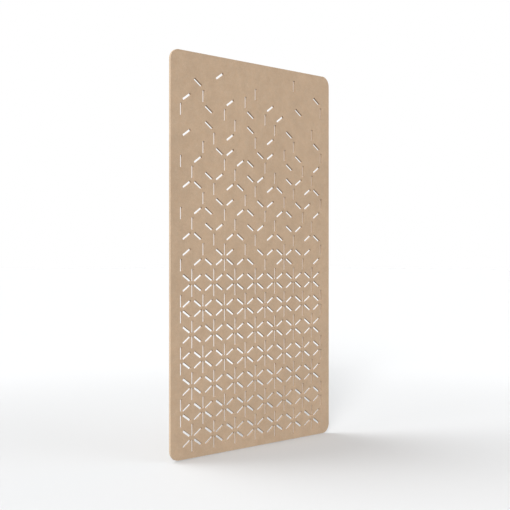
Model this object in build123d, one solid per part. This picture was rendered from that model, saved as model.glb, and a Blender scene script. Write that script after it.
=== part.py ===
from build123d import *
import os
from math import atan2, degrees

os.makedirs("parts", exist_ok=True)

# A hanging acoustic screen: a pressed felt board with a lattice of slots, and two threaded
# sleeves in its top edge. All sizes are in millimetres.
# The origin is midway between the two hanging points, on the top edge, halfway through the board.
# X runs along the board, Y through it towards the back, and Z upwards.

# Board
board_width = 1220
board_height = 2100
board_thickness = 12
corner_radius = 55

# Lattice of slots
column_pitch = 77        # from one column of stars to the next
row_pitch = 133.4        # from one row of stars to the next
arm_rise = 51.5          # how far a slanting arm rises or falls, from its star to the next column
slot_length = 62
slot_width = 14
lattice_foot = 104       # from the bottom edge up to the lowest row of stars
side_clear = 40          # least felt beside the outermost slots
sleeve_cover = 15        # least felt between a sleeve's bore and the slots below it

# Threaded sleeves
sleeve_inset = 210       # from the board's side to a hanging point
sleeve_length = 25
collar_cover = 1         # felt left on each side of the collar
collar_step = 1          # how far the collar stands out from the sleeve
collar_height = 1.5
barb_depth = 0.6
barb_count = 3
thread_bore = 4.2        # tapping size of an M5 thread
thread_depth = 18
glue_gap = 0.1           # round the sleeve and its collar, and under its end

# What follows from them
upright = row_pitch - arm_rise
bore_depth = sleeve_length + glue_gap
collar_radius = board_thickness / 2 - collar_cover
sleeve_radius = collar_radius - collar_step
sleeve_x = board_width / 2 - sleeve_inset

# Every lattice edge that is cut is one slot, halfway along it. The edge is an arm of one star, and
# these are the ways from the star's heart to the arm's end, along X and Z.
arms = {
    "ur": (column_pitch, arm_rise),
    "u": (0, upright),
    "ul": (-column_pitch, arm_rise),
    "ll": (-column_pitch, -arm_rise),
    "d": (0, -upright),
    "lr": (column_pitch, -arm_rise),
}
STAR = "ur u ul ll d lr"
TRIPOD = "u ll lr"
FORK = "ul ur d"

# The fading rows, from the lowest up: column number, and the arms that the star there keeps.
# Even and odd columns take turns from row to row.
fading_rows = [
    {0: FORK, 2: TRIPOD, 4: STAR, 6: TRIPOD, 8: FORK, 10: STAR, 12: FORK, 14: TRIPOD},
    {1: TRIPOD, 3: FORK, 5: TRIPOD, 7: FORK, 9: TRIPOD, 11: FORK, 13: TRIPOD},
    {0: "d", 2: TRIPOD, 4: FORK, 6: TRIPOD, 8: FORK, 10: TRIPOD, 12: FORK, 14: TRIPOD},
    {1: TRIPOD, 3: FORK, 5: TRIPOD, 7: FORK, 9: TRIPOD, 11: FORK, 13: TRIPOD},
    {0: "d", 2: "u ll", 4: FORK, 6: "ll lr", 8: FORK, 10: "u lr", 12: "ul d", 14: TRIPOD},
    {1: "ll", 3: "ul d", 5: "u ll", 7: "ul d", 9: "u ll", 11: "ul d", 13: "u lr"},
    {0: FORK, 2: "u lr", 4: "ur d", 6: "u lr", 8: "ur d", 10: "ll", 12: "ul", 14: "u"},
    {1: "lr", 3: "ur", 7: "d", 11: "u", 13: "lr"},
]
chart_repeat = 14        # on a wider board the chart starts again after this many columns

# How many columns and rows the board has room for. Whole stars fill the rows below the fading ones.
last_column = int((board_width - slot_width - 2 * side_clear) / column_pitch)
top_arm_reach = (upright + slot_length) / 2
highest_row = board_height - bore_depth - sleeve_cover - top_arm_reach
last_row = int((highest_row - lattice_foot) / row_pitch)
first_fading_row = last_row - len(fading_rows) + 1


def arms_kept(row, column):
    """The arms of the star at this site, or none where the lattice has no star."""
    fading = row - first_fading_row
    if (fading + column) % 2:
        return []
    if fading < 0:
        names = STAR
    else:
        chart = fading_rows[fading]
        names = chart.get(column, chart.get(column % chart_repeat, ""))
    outward = {0: ("ul", "ll"), last_column: ("ur", "lr")}.get(column, ())
    return [name for name in names.split() if name not in outward]


def slot_outlines():
    """One straight, square-ended outline for each slot, seen from the front of the board."""
    slot = Rectangle(slot_length, slot_width).wire()
    first_x = -last_column * column_pitch / 2
    outlines = []
    for row in range(last_row + 1):
        for column in range(last_column + 1):
            for name in arms_kept(row, column):
                along, up = arms[name]
                x = first_x + column * column_pitch + along / 2
                z = lattice_foot - board_height + row * row_pitch + up / 2
                turn = degrees(atan2(up, along))
                outlines.append(slot.moved(Location((x, z, 0), (0, 0, turn))))
    return outlines


def sleeve_bore():
    """The stepped blind hole in the top edge that takes one sleeve and its collar."""
    downwards = (Align.CENTER, Align.CENTER, Align.MAX)
    bore = Cylinder(sleeve_radius + glue_gap, bore_depth, align=downwards)
    collar_seat = Cylinder(collar_radius + glue_gap, collar_height, align=downwards)
    return bore + collar_seat


def felt_board():
    """The slotted board, cut from one sheet, with the two holes in its top edge."""
    sheet = RectangleRounded(board_width, board_height, corner_radius)
    outline = sheet.wire().moved(Location((0, -board_height / 2, 0)))
    face = Face(outline, slot_outlines())
    back = Plane(origin=(0, board_thickness / 2, 0), x_dir=(1, 0, 0), z_dir=(0, -1, 0))
    board = extrude(back * face, amount=board_thickness)
    return board - [Pos(x, 0, 0) * sleeve_bore() for x in (-sleeve_x, sleeve_x)]


def threaded_sleeve():
    """A turned sleeve: flush collar, rings of barbs that grip the felt, and a blind tapped hole."""
    barb_pitch = (sleeve_length - collar_height) / barb_count
    points = [(thread_bore / 2, 0), (collar_radius, 0), (collar_radius, -collar_height)]
    for barb in range(barb_count):
        top = -collar_height - barb * barb_pitch
        points.append((sleeve_radius, top))
        points.append((sleeve_radius - barb_depth, top - barb_pitch))
    points += [(0, -sleeve_length), (0, -thread_depth), (thread_bore / 2, -thread_depth)]
    profile = Plane.XZ * make_face(Polyline(*points, close=True))
    return revolve(profile, Axis.Z)


pieces = {
    "felt_board": felt_board(),
    "suspension_insert_left": Pos(-sleeve_x, 0, 0) * threaded_sleeve(),
    "suspension_insert_right": Pos(sleeve_x, 0, 0) * threaded_sleeve(),
}

for name, piece in pieces.items():
    export_step(piece, f"parts/{name}.step")
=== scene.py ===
from math import cos, pi, radians, sin

import bpy
import numpy as np
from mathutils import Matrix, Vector
from mathutils.geometry import delaunay_2d_cdt


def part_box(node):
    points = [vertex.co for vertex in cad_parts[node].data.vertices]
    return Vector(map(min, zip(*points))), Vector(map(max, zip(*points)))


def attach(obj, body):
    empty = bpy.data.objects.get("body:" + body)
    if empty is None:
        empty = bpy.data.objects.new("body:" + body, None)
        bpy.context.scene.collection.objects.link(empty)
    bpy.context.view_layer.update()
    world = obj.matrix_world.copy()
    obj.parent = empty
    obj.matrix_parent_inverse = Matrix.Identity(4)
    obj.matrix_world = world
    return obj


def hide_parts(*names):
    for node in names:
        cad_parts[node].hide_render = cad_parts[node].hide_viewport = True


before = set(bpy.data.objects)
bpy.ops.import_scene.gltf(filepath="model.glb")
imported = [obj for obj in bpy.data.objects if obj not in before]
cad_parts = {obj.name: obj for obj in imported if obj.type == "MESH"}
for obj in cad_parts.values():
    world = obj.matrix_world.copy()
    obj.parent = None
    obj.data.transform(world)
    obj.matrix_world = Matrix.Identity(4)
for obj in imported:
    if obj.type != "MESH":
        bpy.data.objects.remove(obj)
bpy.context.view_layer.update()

# A hanging acoustic screen: a pressed felt board with a lattice of slots, and two brass sleeves in
# its top edge. Lengths are in metres. X runs along the board, Y through it to the back, Z upwards.

mm = 0.001
tolerance = 0.01 * mm        # two lengths nearer than this are the same

# The felt board. Its outline, thickness and slots are read from the board in model.glb.
arris = 0.25 * mm            # how far the knife's cut edges are rounded over
arris_steps = 3
slot_corner = 0.6 * mm       # radius in the corners of a slot
slot_corner_steps = 3
board_corner_steps = 24

# The sleeves in the top edge, and the stepped bores round them
bore_stations = 64
collar_radius = 5 * mm
collar_height = 1.5 * mm
sleeve_radius = 4 * mm
glue_gap = 0.1 * mm          # round the sleeve and its collar, and under its end
sleeve_chamfer = 0.25 * mm
barb_depth = 0.6 * mm
barb_count = 3
barb_tip = 0.15 * mm         # the blunt upper edge of a barb
thread_depth = 18 * mm
thread_pitch = 0.8 * mm
thread_minor_radius = 2.1 * mm
thread_major_radius = 2.5 * mm
thread_flat = 0.125          # how much of the thread's depth is cut off at its crests and roots
rings_per_turn = 8
drill_point = 1.2 * mm       # the cone that the drill leaves at the foot of the tapped hole

# Colours of the materials
felt_shadow = (0.466, 0.334, 0.224, 1)
felt_light = (0.546, 0.404, 0.280, 1)
felt_warm = (0.513, 0.361, 0.240, 1)
fibre_dark = (0.355, 0.245, 0.155, 1)
fibre_pale = (0.640, 0.500, 0.370, 1)
felt_sheen = (0.80, 0.66, 0.52, 1)
brass_bright = (0.60, 0.42, 0.16, 1)
brass_tarnished = (0.42, 0.28, 0.11, 1)

# The studio
floor_gap = 5 * mm           # the board hangs this far above the floor
floor_half_width = 60.0
floor_near = 2.4             # distance from the board's top edge up to which the floor is painted darker, as painted shade
floor_far = 4.8              # and from which on it is white
floor_painted_shade_grey = (0.76, 0.76, 0.76, 1)
floor_far_grey = (0.84, 0.84, 0.84, 1)
floor_bounce = (0.24, 0.24, 0.24, 1)
surround_level = 0.22
camera_place = (-3.8474, -3.8683, -1.0507)
camera_way = (0.7051, 0.7091, 0.0)
camera_lens = 70.0

# Each lamp: its name, the azimuth and elevation of the light, its spread, all in degrees, and its
# level and colour
lamps = [
    ("front_left", 220, 22, 20, 0.84, (1, 1, 1)),
    ("front_right", 300, 15, 60, 0.28, (1, 1, 1)),
    ("behind", 110, 60, 40, 0.38, (1, 1, 1)),
    ("behind_left", 140, 15, 40, 0.30, (1, 1, 1)),
    ("above", 90, 75, 60, 0.12, (1, 1, 1)),
    ("side_window", 180, 6, 12, 0.62, (0.85, 1.0, 1.15)),
]

front, back = (Vector(corner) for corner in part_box("felt_board"))


# Meshes

def make_piece(name, points, patches, material):
    """A mesh object. Each patch is an array of faces, and whether they are shaded smooth."""
    corners = np.concatenate([faces.ravel() for faces, smooth in patches])
    sizes = np.concatenate([np.full(len(faces), faces.shape[1]) for faces, smooth in patches])
    shading = np.concatenate([np.full(len(faces), smooth) for faces, smooth in patches])
    mesh = bpy.data.meshes.new(name)
    mesh.vertices.add(len(points))
    mesh.vertices.foreach_set("co", points.astype(np.float32).ravel())
    mesh.loops.add(len(corners))
    mesh.loops.foreach_set("vertex_index", corners.astype(np.int32))
    mesh.polygons.add(len(sizes))
    mesh.polygons.foreach_set("loop_start", (np.cumsum(sizes) - sizes).astype(np.int32))
    mesh.polygons.foreach_set("use_smooth", shading)
    mesh.update(calc_edges=True)
    mesh.validate()
    mesh.materials.append(material)
    piece = bpy.data.objects.new(name, mesh)
    bpy.context.scene.collection.objects.link(piece)
    return piece


def strips(index):
    """Four-sided faces between the neighbours of a (loop, station, layer) grid of closed loops."""
    onward = np.roll(index, -1, axis=1)
    corners = [index[..., :-1], onward[..., :-1], onward[..., 1:], index[..., 1:]]
    return np.stack(corners, axis=-1)


def fill(edge, holes):
    """Triangles over a flat convex sheet with convex holes, as indices into the edge and the holes.

    A triangle with all its corners on one hole's loop covers that hole, and is left out."""
    points = np.concatenate([edge, holes.reshape(-1, 2)])
    hole_size = holes.shape[1]
    loop = np.concatenate([np.zeros(len(edge), int), 1 + np.arange(len(holes)).repeat(hole_size)])
    order = np.arange(len(points))
    first = np.flatnonzero(np.diff(loop, prepend=-1))
    last = np.append(first[1:], len(points)) - 1
    onward = order + 1
    onward[last] = first
    made = delaunay_2d_cdt(points.tolist(), np.stack([order, onward], 1).tolist(), [], 0, 1e-9)
    source = np.array([found[0] for found in made[3]])
    triangles = source[np.array(made[2])]
    on = loop[triangles]
    covers_hole = (on[:, 0] > 0) & (on[:, 0] == on[:, 1]) & (on[:, 0] == on[:, 2])
    return triangles[~covers_hole]


# The felt board

def slot_corners():
    """Each slot's corners on the front face, as (slot, corner, XZ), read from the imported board.

    A triangle of a cut wall has one side on the front face. Each such side leads from one point
    to the next, and a slot is a ring that comes back to its start after four sides."""
    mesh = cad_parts["felt_board"].data
    mesh.calc_loop_triangles()
    points = np.empty(3 * len(mesh.vertices), np.float32)
    mesh.vertices.foreach_get("co", points)
    corners = np.empty(3 * len(mesh.loop_triangles), np.int32)
    mesh.loop_triangles.foreach_get("vertices", corners)
    triangles = points.reshape(-1, 3)[corners].reshape(-1, 3, 3).astype(float)
    across = np.cross(triangles[:, 1] - triangles[:, 0], triangles[:, 2] - triangles[:, 0])
    walls = triangles[abs(across[:, 1]) < 0.01 * np.linalg.norm(across, axis=1)]
    ends = np.roll(walls, -1, axis=1)
    on_front = (walls[..., 1] < front.y + tolerance) & (ends[..., 1] < front.y + tolerance)
    sides = np.stack([walls[on_front], ends[on_front]], axis=1)[..., ::2]
    counted = (sides.reshape(-1, 2) / tolerance).round()
    places, at = np.unique(counted, axis=0, return_inverse=True)
    start, end = at.reshape(-1, 2).T
    onward = np.arange(len(places))
    onward[start] = end
    ring = [np.arange(len(places))]
    for corner in range(3):
        ring.append(onward[ring[-1]])
    ring = np.stack(ring, axis=1)
    closes = (onward[ring[:, 3]] == ring[:, 0]) & (ring[:, 0] == ring.min(axis=1))
    found = places[ring[closes]] * tolerance
    side, next_side = found[:, 1] - found[:, 0], found[:, 2] - found[:, 1]
    clockwise = side[:, 0] * next_side[:, 1] < side[:, 1] * next_side[:, 0]
    found[clockwise] = found[clockwise, ::-1]
    return found


def rounded(corners, radius, steps):
    """Corner centres and outward directions for the arcs of right-angled, anticlockwise outlines.

    Each arc turns from the outward direction of the side before its corner to that of the side
    after it, which is also the way in which the side before runs."""
    along = corners - np.roll(corners, 1, axis=1)
    along /= np.linalg.norm(along, axis=2, keepdims=True)
    outward = np.stack([along[..., 1], -along[..., 0]], axis=2)
    turn = np.linspace(0, pi / 2, steps)[:, None]
    ways = np.cos(turn) * outward[:, :, None] + np.sin(turn) * along[:, :, None]
    centres = np.repeat((corners - radius * (outward + along))[:, :, None], steps, axis=2)
    return centres.reshape(len(corners), -1, 2), ways.reshape(len(corners), -1, 2)


def cut_edge(corners, radius, steps, setback):
    """A cut edge carried round each outline, as (outline, station, layer, XYZ).

    The profile is a quarter round from the front face, a straight wall, and a quarter round to
    the back face. The quarter rounds lie back from the wall by arris * (1 - sin), times setback,
    and arris * (1 - cos) below their face."""
    turn = np.linspace(0, pi / 2, arris_steps + 1)
    from_wall = arris * (1 - np.sin(turn))
    from_face = arris * (1 - np.cos(turn))
    from_wall = np.append(from_wall, from_wall[::-1])
    depth = np.append(front.y + from_face, back.y - from_face[::-1])
    centres, ways = rounded(corners, radius, steps)
    reach = (radius + setback * from_wall)[:, None]
    flat = centres[:, :, None] + reach * ways[:, :, None]
    depth = np.broadcast_to(depth, flat.shape[:3])
    return np.stack([flat[..., 0], depth, flat[..., 1]], axis=-1)


def corner_radius():
    """The radius of the board's corners: how far below the top its straight side ends."""
    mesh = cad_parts["felt_board"].data
    points = np.empty(3 * len(mesh.vertices), np.float32)
    mesh.vertices.foreach_get("co", points)
    points = points.reshape(-1, 3)
    return back.z - points[points[:, 0] > back.x - tolerance, 2].max()


def sleeve_places():
    """Where the axes of the two sleeves stand along the board."""
    names = ("suspension_insert_left", "suspension_insert_right")
    return [sum(corner.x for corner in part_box(name)) / 2 for name in names]


def bore_rings():
    """The stepped bores as (bore, station, layer, XYZ): circles from the mouth down to the foot."""
    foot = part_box("suspension_insert_left")[0].z - glue_gap
    radii = np.array([collar_radius, collar_radius, sleeve_radius, sleeve_radius]) + glue_gap
    heights = np.array([back.z, back.z - collar_height, back.z - collar_height, foot])
    around = np.arange(bore_stations)[:, None] * 2 * pi / bore_stations
    parts = np.broadcast_arrays(radii * np.cos(around), radii * np.sin(around), heights)
    ring = np.stack(parts, axis=-1)
    places = np.array([[x, 0, 0] for x in sleeve_places()])
    return ring + places[:, None, None]


def felt_board(material):
    """The slotted board, with softly rounded cut edges and the two bores in its top edge."""
    slots = cut_edge(slot_corners(), slot_corner, slot_corner_steps, 1)
    outline = np.array([[[front.x, front.z], [back.x, front.z],
                         [back.x, back.z], [front.x, back.z]]])
    rim = cut_edge(outline, corner_radius(), board_corner_steps, -1)
    bores = bore_rings()
    points = [rim.reshape(-1, 3), slots.reshape(-1, 3), bores.reshape(-1, 3)]
    starts = np.cumsum([0] + [len(part) for part in points])
    rim_index, slot_index, bore_index = (
        start + np.arange(grid[..., 0].size).reshape(grid.shape[:3])
        for start, grid in zip(starts, (rim, slots, bores)))

    # The front and back faces share one set of triangles.
    sheet = fill(rim[0, :, 0, ::2], slots[:, :, 0, ::2])
    front_points = np.append(rim_index[..., 0], slot_index[..., 0])
    back_points = np.append(rim_index[..., -1], slot_index[..., -1])

    # The flat of the top edge, from the last station of the third corner to the next station,
    # gives way to a sheet with the two mouths.
    top = 3 * board_corner_steps - 1
    wall = arris_steps
    edge_of_top = ([top + 1, top, top, top + 1], [wall, wall, wall + 1, wall + 1])
    top_sheet = fill(rim[0][edge_of_top][:, :2], bores[:, :, 0, :2])
    top_points = np.append(rim_index[0][edge_of_top], bore_index[..., 0])

    slot_faces = strips(slot_index)
    rim_faces = strips(rim_index)[..., ::-1]
    return make_piece("pressed_felt_board", np.concatenate(points), [
        (front_points[sheet], False),
        (back_points[sheet][:, ::-1], False),
        (slot_faces[:, :, wall].reshape(-1, 4), False),
        (np.delete(slot_faces, wall, axis=2).reshape(-1, 4), True),
        (np.delete(rim_faces[0, :, wall], top, axis=0), True),
        (np.delete(rim_faces, wall, axis=2).reshape(-1, 4), True),
        (top_points[top_sheet], False),
        (strips(bore_index).reshape(-1, 4), False),
        (bore_index[..., -1], False),
    ], material)


# The sleeves

def sleeve_outside():
    """Radius and height down the outside, from the foot's centre up to the rim of the tapped hole.

    Each barb is a cone that widens upwards, with a blunt upper edge."""
    foot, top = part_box("suspension_insert_left")[0].z, back.z
    collar_foot = top - collar_height
    root = sleeve_radius - barb_depth
    barb = (collar_foot - foot) / barb_count
    outside = [(0, foot), (root - sleeve_chamfer, foot), (root, foot + sleeve_chamfer)]
    for step in range(barb_count):
        low = foot + step * barb
        if step:
            outside.append((root, low))
        outside.append((sleeve_radius, low + barb - barb_tip))
        outside.append((sleeve_radius - barb_tip, low + barb))
    outside.append((collar_radius - sleeve_chamfer, collar_foot))
    outside.append((collar_radius, collar_foot + sleeve_chamfer))
    outside.append((collar_radius, top - sleeve_chamfer))
    outside.append((collar_radius - sleeve_chamfer, top))
    outside.append((thread_major_radius + sleeve_chamfer, top))
    return outside


def sleeve_mesh(name, x, material):
    """A turned sleeve with a tapped hole, as a surface of revolution.

    In the hole the radius swings between the thread's minor and major radius as a triangle wave
    of height / pitch + angle / full turn, so that the wave is a helix. The wave is made taller by
    the flat at either end, and cut back to the range from 0 to 1."""
    top = back.z
    ring_gap = thread_pitch / rings_per_turn
    tapped = np.arange(top - sleeve_chamfer, top - thread_depth, -ring_gap)
    outside = np.array(sleeve_outside())
    drilled = tapped[-1] - ring_gap
    foot = np.array([(thread_minor_radius, drilled), (0, drilled - drill_point)])
    plain_bore = np.full(len(tapped), thread_minor_radius)
    radius = np.concatenate([outside[:, 0], plain_bore, foot[:, 0]])
    height = np.concatenate([outside[:, 1], tapped, foot[:, 1]])
    around = np.arange(bore_stations)[:, None] / bore_stations
    wave = tapped / thread_pitch + around
    wave = 2 * abs(wave - wave.round())
    wave = np.clip(wave * (1 + 2 * thread_flat) - thread_flat, 0, 1)
    radius = np.tile(radius, (bore_stations, 1))
    radius[:, len(outside):-2] += wave * (thread_major_radius - thread_minor_radius)
    turn = around * 2 * pi
    parts = np.broadcast_arrays(x + radius * np.cos(turn), radius * np.sin(turn), height)
    grid = np.stack(parts, axis=-1)
    rings = grid[None, :, 1:-1]
    index = np.arange(rings[..., 0].size).reshape(rings.shape[:3])
    poles = np.array([[x, 0, height[0]], [x, 0, height[-1]]])
    foot_pole, bore_pole = rings[..., 0].size + np.arange(2)
    onward = np.roll(index, -1, axis=1)
    foot_fan = np.stack([onward[0, :, 0], index[0, :, 0], np.full(bore_stations, foot_pole)], -1)
    bore_fan = np.stack([index[0, :, -1], onward[0, :, -1], np.full(bore_stations, bore_pole)], -1)
    return make_piece(name, np.concatenate([rings.reshape(-1, 3), poles]), [
        (strips(index).reshape(-1, 4), True), (foot_fan, False), (bore_fan, False)], material)


# Materials

class Reading:
    """A socket that gives a number at each point. Arithmetic on it adds Math nodes."""

    def __init__(self, finish, socket):
        self.finish, self.socket = finish, socket

    def math(self, operation, *values):
        return self.finish.node("ShaderNodeMath", {"operation": operation}, dict(enumerate(values)))

    def __add__(self, other):
        return self.math("ADD", self, other)

    def __sub__(self, other):
        return self.math("SUBTRACT", self, other)

    def __rsub__(self, other):
        return self.math("SUBTRACT", other, self)

    def __mul__(self, other):
        return self.math("MULTIPLY", self, other)

    def __abs__(self):
        return self.math("ABSOLUTE", self)

    def __pow__(self, other):
        return self.math("POWER", self, other)

    __radd__ = __add__
    __rmul__ = __mul__

    def clamped(self):
        return self.math("MINIMUM", self.math("MAXIMUM", self, 0.0), 1.0)


class Finish:
    """A node material, or the world's nodes, built from the words below."""

    def __init__(self, owner):
        owner.use_nodes = True
        self.tree = owner.node_tree
        self.tree.nodes.clear()

    def node(self, kind, settings=None, inputs=None, output=0):
        """One node: its settings first, then the value or link of each named socket."""
        made = self.tree.nodes.new(kind)
        for name, value in (settings or {}).items():
            setattr(made, name, value)
        for name, value in (inputs or {}).items():
            if isinstance(value, Reading):
                self.tree.links.new(value.socket, made.inputs[name])
            else:
                made.inputs[name].default_value = value
        return Reading(self, made.outputs[output]) if len(made.outputs) else made

    def place(self):
        """Where a point lies in the object's own frame."""
        return self.node("ShaderNodeTexCoord", output="Object")

    def stretched(self, place, size, turn=0):
        """The place turned about Y, and counted in units of the given size along X, Y and Z."""
        inputs = {"Vector": place, "Rotation": (0, radians(turn), 0), "Scale": size}
        return self.node("ShaderNodeMapping", {"vector_type": "TEXTURE"}, inputs)

    def noise(self, place, size, detail=2.0, roughness=0.5, distortion=0.0):
        """Soft noise from -1 to 1 about a mean of 0, with features of the given size."""
        inputs = {"Vector": place, "Scale": 1 / size, "Detail": detail,
                  "Roughness": roughness, "Distortion": distortion}
        return self.node("ShaderNodeTexNoise", {}, inputs) * 2.0 - 1.0

    def fibres(self, place, length, width, turns):
        """Two sets of bent fibres that cross: 1 along a fibre, and 0 away from it.

        A fibre lies where a drawn-out noise crosses 0, as 1 - 7 * abs(noise)."""
        drawn = [self.stretched(place, (length, width, width), turn) for turn in turns]
        waves = [self.noise(way, 1.0, 1.0, 0.5, distortion=0.9) for way in drawn]
        first, second = ((1.0 - 7.0 * abs(wave)).clamped() for wave in waves)
        return self.node("ShaderNodeMath", {"operation": "MAXIMUM"}, {0: first, 1: second})

    def ramp(self, value, low, high):
        """0 below the low value, 1 above the high one, and smooth between them."""
        inputs = {"Value": value, "From Min": low, "From Max": high}
        return self.node("ShaderNodeMapRange", {"interpolation_type": "SMOOTHSTEP"}, inputs)

    def mix(self, share, first, second):
        """A colour between two, where a share of 1 gives the second."""
        return self.node("ShaderNodeMix", {"data_type": "RGBA"}, {0: share, 6: first, 7: second}, 2)

    def shaded(self, colour, amount):
        """A colour made lighter or darker by a reading about 1."""
        parts = {"Red": amount, "Green": amount, "Blue": amount}
        grey = self.node("ShaderNodeCombineColor", {}, parts)
        settings = {"data_type": "RGBA", "blend_type": "MULTIPLY"}
        return self.node("ShaderNodeMix", settings, {0: 1.0, 6: colour, 7: grey}, 2)

    def bump(self, height, depth):
        """A normal tilted by a relief, where a height of 1 stands out by the given depth."""
        inputs = {"Height": height, "Strength": 1.0, "Distance": depth}
        return self.node("ShaderNodeBump", {}, inputs)

    def finish(self, shader, kind="ShaderNodeOutputMaterial"):
        """The last node, which shows the shader."""
        self.node(kind, {}, {"Surface": shader})


def new_finish(name):
    material = bpy.data.materials.new(name)
    return material, Finish(material)


def pressed_felt():
    """Needled fibre: crossing fibres on a mottled ground, clouds of denser felt, and cut walls
    with pressed layers. The cut walls are also painted a little darker: painted shade in the slots."""
    material, felt = new_finish("pressed_felt")
    place = felt.place()
    depth = felt.node("ShaderNodeSeparateXYZ", {}, {"Vector": place}, "Y")
    wall = 1.0 - felt.ramp(abs(depth), back.y - 1.2 * mm, back.y)

    pale = felt.fibres(place, 4 * mm, 0.6 * mm, (10, 75))
    dark = felt.fibres(place, 5 * mm, 0.7 * mm, (42, 138))
    mats = felt.noise(place, 3 * mm, 3, 0.6)
    tufts = felt.noise(place, 9 * mm, 3, 0.6)
    clouds = felt.noise(place, 70 * mm, 3, 0.55)
    # A broad random tone, partly painted light: its size is picked so that it lightens the lower
    # part of the face.
    broad_tone_and_painted_light = felt.noise(place, 500 * mm, 1, 0.5)
    warmth = felt.noise(place, 28 * mm, 4, 0.65)
    sheet = felt.stretched(place, (9 * mm, 0.7 * mm, 9 * mm))
    layers = felt.noise(sheet, 1.0, 2, 0.6) * wall

    ground = felt.mix((0.5 + 1.3 * mats).clamped(), felt_shadow, felt_light)
    ground = felt.mix(0.40 * dark, ground, fibre_dark)
    ground = felt.mix(0.45 * pale, ground, fibre_pale)
    ground = felt.mix((0.5 + 1.1 * warmth).clamped(), ground, felt_warm)
    # The last term paints the cut walls 14 % darker: painted shade inside the slots.
    light = 1.0 + 0.12 * tufts + 0.12 * clouds + 0.09 * broad_tone_and_painted_light + 0.10 * layers - 0.14 * wall
    colour = felt.shaded(ground, light)

    relief = 0.5 * pale - 0.3 * dark + 0.5 * mats + 0.6 * tufts + 0.8 * layers
    rough = 0.90 + 0.05 * mats - 0.03 * clouds
    surface = felt.node("ShaderNodeBsdfPrincipled", {}, {
        "Base Color": colour, "Roughness": rough, "Normal": felt.bump(relief, 0.12 * mm),
        "Specular IOR Level": 0.25, "Sheen Weight": 0.12, "Sheen Roughness": 0.6,
        "Sheen Tint": felt_sheen})
    felt.finish(surface)
    return material


def turned_brass():
    """Brass from the lathe: fine rings about each sleeve's axis, and a little tarnish."""
    material, brass = new_finish("turned_brass")
    place = brass.place()
    parts = [brass.node("ShaderNodeSeparateXYZ", {}, {"Vector": place}, way) for way in "XYZ"]
    from_axis = abs(parts[0]) - sleeve_places()[1]
    radius = (from_axis * from_axis + parts[1] * parts[1]) ** 0.5
    turned = brass.node("ShaderNodeCombineXYZ", {}, {"X": radius, "Y": 0.0, "Z": parts[2]})
    rings = brass.noise(turned, 0.12 * mm, 2, 0.6)
    tarnish = brass.noise(place, 2.5 * mm, 3, 0.6)
    colour = brass.mix((0.35 + 0.5 * tarnish).clamped(), brass_bright, brass_tarnished)
    surface = brass.node("ShaderNodeBsdfPrincipled", {}, {
        "Base Color": colour, "Metallic": 1.0, "Roughness": 0.30 + 0.06 * rings + 0.08 * tarnish,
        "Normal": brass.bump(rings, 0.01 * mm)})
    brass.finish(surface)
    return material


def seen_directly(nodes):
    """1 for the rays that show the background: those of the camera, of gloss and through glass."""
    rays = [nodes.node("ShaderNodeLightPath", output=ray)
            for ray in ("Is Camera Ray", "Is Glossy Ray", "Is Transmission Ray")]
    return (rays[0] + rays[1] + rays[2]).clamped()


def white_floor():
    """A matt floor that throws only a little light back up at the board.

    Seen directly it is white far away, and painted a darker grey around the board: painted shade."""
    material, floor = new_finish("white_floor")
    length = {"operation": "LENGTH"}
    distance = floor.node("ShaderNodeVectorMath", length, {0: floor.place()}, "Value")
    # Near the board the floor is painted a darker grey: painted shade round the board.
    seen = floor.mix(floor.ramp(distance, floor_near, floor_far), floor_painted_shade_grey, floor_far_grey)
    shade = floor.mix(seen_directly(floor), floor_bounce, seen)
    floor.finish(floor.node("ShaderNodeBsdfDiffuse", {}, {"Color": shade}))
    return material


# The studio

def lay_floor():
    low = front.z - floor_gap
    corner = floor_half_width
    points = np.array([[-corner, -corner, low], [corner, -corner, low],
                       [corner, corner, low], [-corner, corner, low]])
    face = np.array([[0, 1, 2, 3]])
    floor = make_piece("studio_floor", points, [(face, False)], white_floor())


def hang_light(name, azimuth, elevation, spread, level, colour):
    """A far soft light. The azimuth is that of the light, from +X towards +Y.

    A white card that faces the light shows the given level."""
    lamp = bpy.data.lights.new(name, "SUN")
    lamp.angle = radians(spread)
    lamp.energy = pi * level
    lamp.color = colour
    light = bpy.data.objects.new(name, lamp)
    turn, rise = radians(azimuth), radians(elevation)
    way = Vector((cos(rise) * cos(turn), cos(rise) * sin(turn), sin(rise)))
    light.rotation_euler = way.to_track_quat("Z", "Y").to_euler()
    bpy.context.scene.collection.objects.link(light)


def surround(level):
    """An even white surround, which the camera, gloss and glass see at full white."""
    world = bpy.data.worlds.new("white_surround")
    bpy.context.scene.world = world
    white = Finish(world)
    strength = level + (1.0 - level) * seen_directly(white)
    glow = white.node("ShaderNodeBackground", {}, {"Color": (1, 1, 1, 1), "Strength": strength})
    white.finish(glow, "ShaderNodeOutputWorld")


def stand_camera():
    camera = bpy.data.objects.new("camera", bpy.data.cameras.new("camera"))
    camera.data.lens = camera_lens
    camera.location = camera_place
    camera.rotation_euler = Vector(camera_way).to_track_quat("-Z", "Y").to_euler()
    bpy.context.scene.collection.objects.link(camera)
    bpy.context.scene.camera = camera


board = felt_board(pressed_felt())
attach(board, "root")
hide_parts("felt_board")

brass = turned_brass()
for side, x in zip(("left", "right"), sleeve_places()):
    sleeve = sleeve_mesh(f"threaded_sleeve_{side}", x, brass)
    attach(sleeve, "root")
    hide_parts(f"suspension_insert_{side}")

lay_floor()
surround(surround_level)
for lamp in lamps:
    hang_light(*lamp)
stand_camera()
bpy.context.scene.view_settings.view_transform = "Standard"
